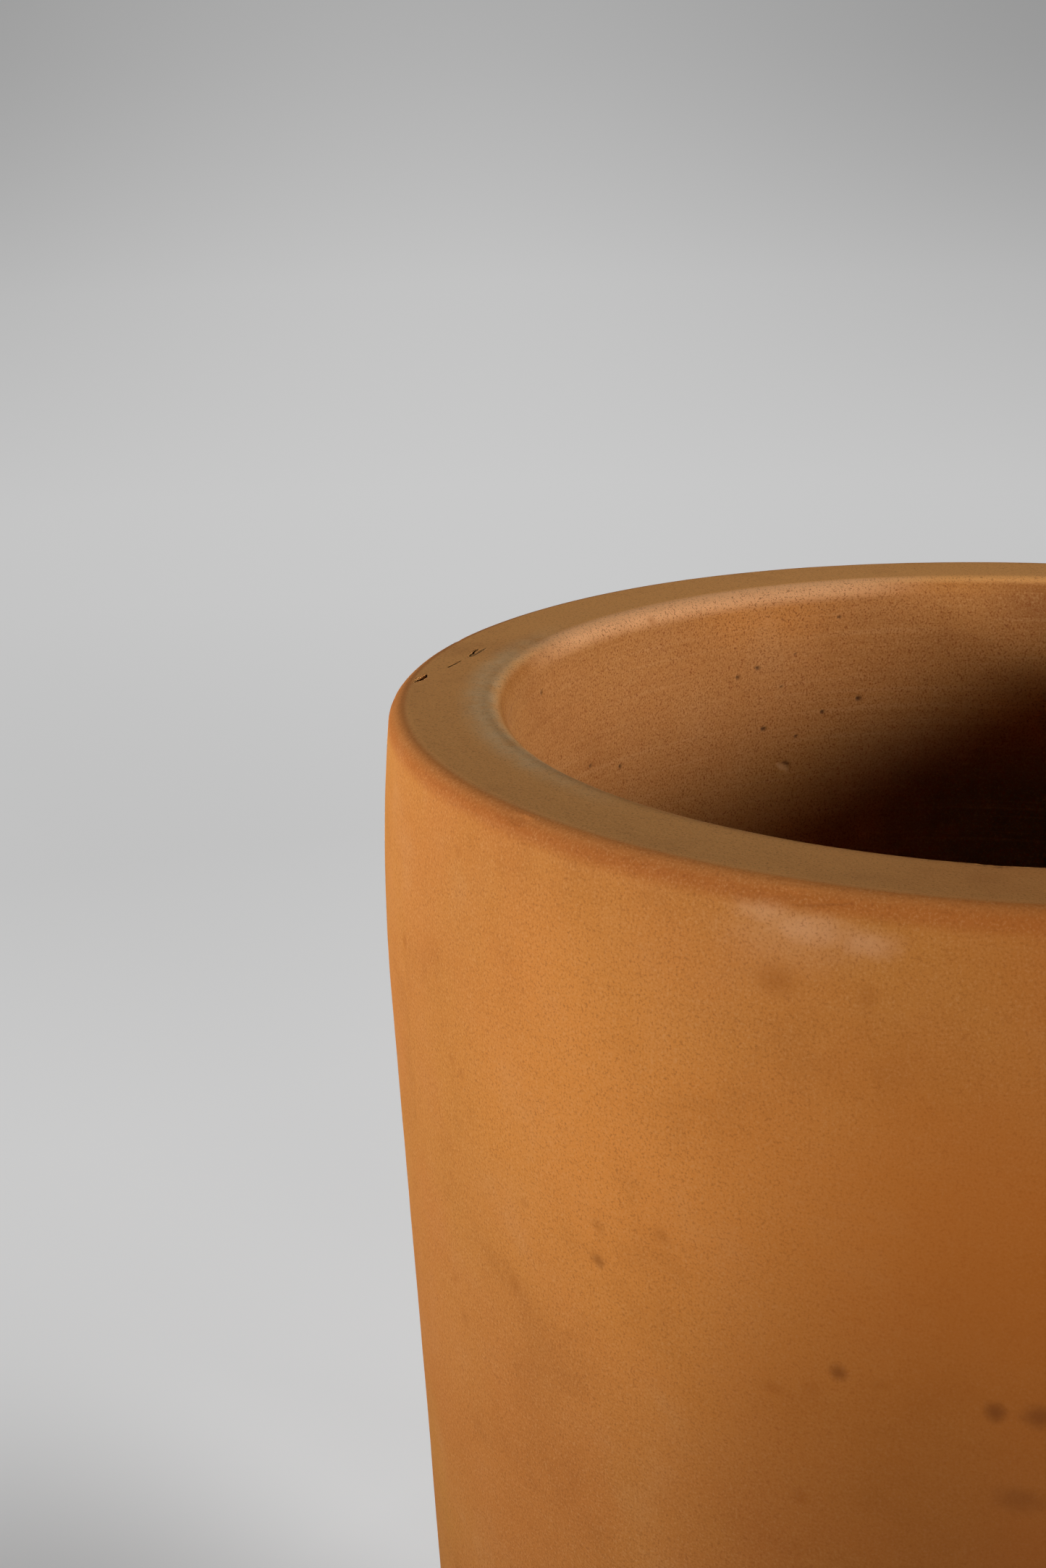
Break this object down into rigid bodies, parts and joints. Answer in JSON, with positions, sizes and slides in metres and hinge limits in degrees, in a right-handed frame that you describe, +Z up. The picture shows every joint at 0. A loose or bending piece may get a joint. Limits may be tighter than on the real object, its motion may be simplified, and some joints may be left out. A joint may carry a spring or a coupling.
{
  "type": "terracotta pot",
  "caption": "Round thick-walled plant pot of unglazed fired clay, gently barrelled below a flat rim, standing loose in its matching clay saucer.",
  "frame": {"origin": "centre of the saucer's underside, on the surface that it stands on", "axes": "+Z up along the pot's axis; the pot is round, and one of the three drain notches in its foot ring faces +X"},
  "size_m": [0.168, 0.168, 0.178],
  "materials": {
    "pot_clay": "matt unglazed fired clay, lightly mottled, dusty along the rim",
    "saucer_clay": "matt unglazed fired clay"
  },
  "bodies": {
    "saucer": {"saucer": "saucer_clay"},
    "pot": {"pot": "pot_clay"}
  },
  "joints": [
    {"name": "pot_lift", "type": "slide", "parent": "saucer", "child": "pot", "axis": [0, 0, 1], "range_m": [0, 0.06]}
  ]
}
